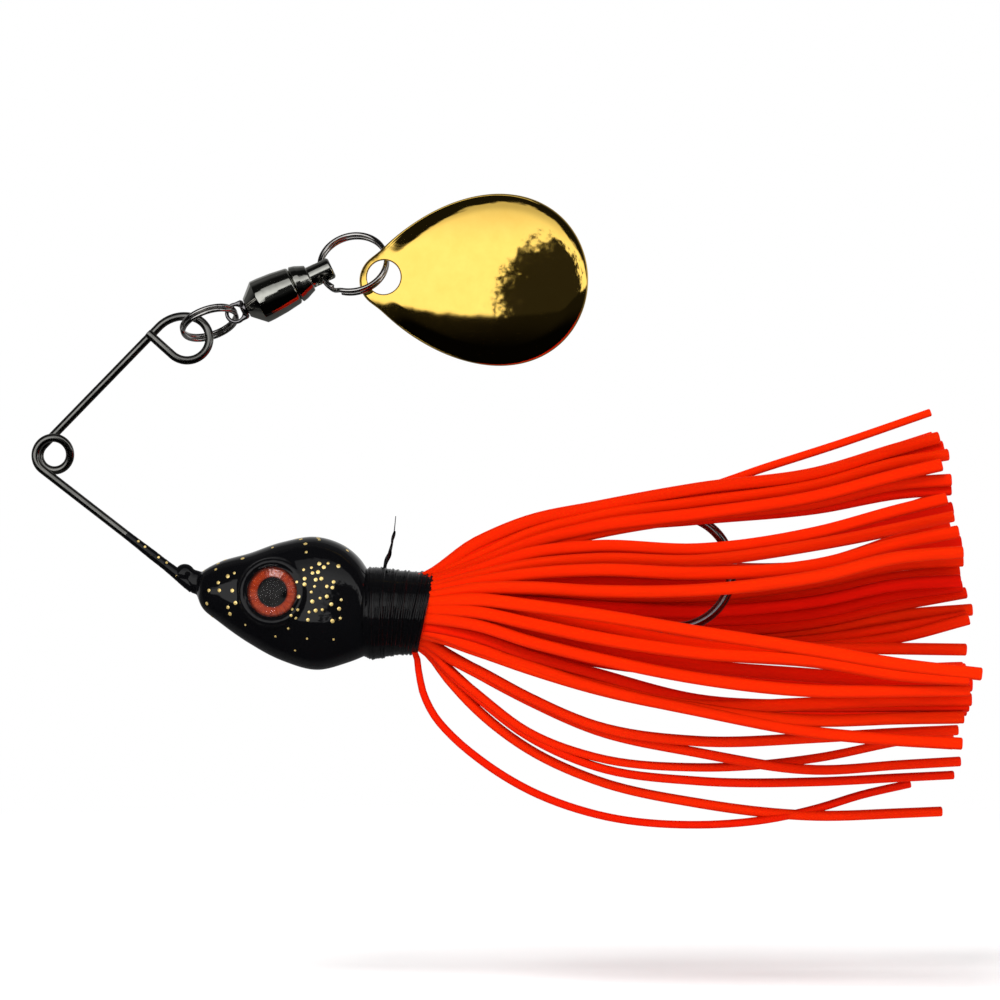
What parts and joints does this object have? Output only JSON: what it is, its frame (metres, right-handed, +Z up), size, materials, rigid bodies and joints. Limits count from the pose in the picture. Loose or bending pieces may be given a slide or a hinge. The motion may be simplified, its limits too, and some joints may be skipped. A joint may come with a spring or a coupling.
{
  "type": "spinnerbait fishing lure",
  "caption": "Safety-pin wire lure: weighted skirted hook on the lower arm and a swivelling teardrop blade on the upper arm, joined by an open line-tie coil.",
  "frame": {"origin": "centre of the front turn of the line-tie coil, in the plane of the lower arm", "axes": "+X from the line tie towards the skirt's end, +Z up (the hook's point is up), +Y to the lure's right-hand side; the wire frame lies in the XZ plane"},
  "size_m": [0.1121, 0.0349, 0.0742],
  "materials": {
    "frame_wire": "dark blued spring steel",
    "ring_wire": "black nickel, bright",
    "swivel": "black nickel, polished",
    "bearing": "polished steel balls",
    "blade_gold": "polished gold plate",
    "head_paint": "gloss black with gold glitter under a clear coat",
    "hook_wire": "black nickel",
    "eye_foil": "orange-red foil with a black pupil",
    "eye_lens": "clear domed resin",
    "thread": "black binding thread under varnish",
    "skirt_silicone": "fluorescent orange-red silicone"
  },
  "bodies": {
    "lure_body": {"wire_frame": "frame_wire", "head_casting": "head_paint", "hook": "hook_wire", "eye_foil_left": "eye_foil", "eye_foil_right": "eye_foil", "eye_lens_left": "eye_lens", "eye_lens_right": "eye_lens", "thread_wrap": "thread", "skirt_top": "skirt_silicone", "skirt_near": "skirt_silicone", "skirt_far": "skirt_silicone", "skirt_bottom": "skirt_silicone", "skirt_stray_strand": "skirt_silicone"},
    "rear_split_ring": {"rear_split_ring": "ring_wire"},
    "swivel_post": {"swivel_post": "swivel"},
    "bearing_balls": {"bearing_balls": "bearing"},
    "swivel_barrel": {"swivel_shell": "swivel", "swivel_neck": "swivel"},
    "front_split_ring": {"front_split_ring": "ring_wire"},
    "blade": {"blade": "blade_gold"}
  },
  "joints": [
    {"name": "arm_swing", "type": "hinge", "parent": "lure_body", "child": "rear_split_ring", "pos_m": [0.01575, 0, 0.01383], "axis": [0, -1, 0], "range_deg": [-24, 50]},
    {"name": "post_swing", "type": "hinge", "parent": "rear_split_ring", "child": "swivel_post", "pos_m": [0.01835, 0.0009, 0.0157], "axis": [0.3125, -0.4067, -0.8585], "range_deg": [-40, 40]},
    {"name": "swivel_spin", "type": "hinge", "parent": "swivel_post", "child": "swivel_barrel", "pos_m": [0.02276, 0.0009, 0.01745], "axis": [0.9026, 0, 0.4305], "continuous": true},
    {"name": "ball_roll", "type": "hinge", "parent": "swivel_post", "child": "bearing_balls", "pos_m": [0.02276, 0.0009, 0.01745], "axis": [0.9026, 0, 0.4305], "continuous": true},
    {"name": "ring_turn", "type": "hinge", "parent": "swivel_barrel", "child": "front_split_ring", "pos_m": [0.03535, 0.0009, 0.02267], "axis": [-0.1372, -0.848, 0.5119], "range_deg": [-60, 100]},
    {"name": "blade_swing", "type": "hinge", "parent": "front_split_ring", "child": "blade", "pos_m": [0.03914, -0.00016, 0.02193], "axis": [0.2929, 0.4589, 0.8388], "range_deg": [-80, 15]}
  ],
  "couplings": [
    {"joint": "ball_roll", "follows": "swivel_spin", "ratio": 0.5}
  ]
}
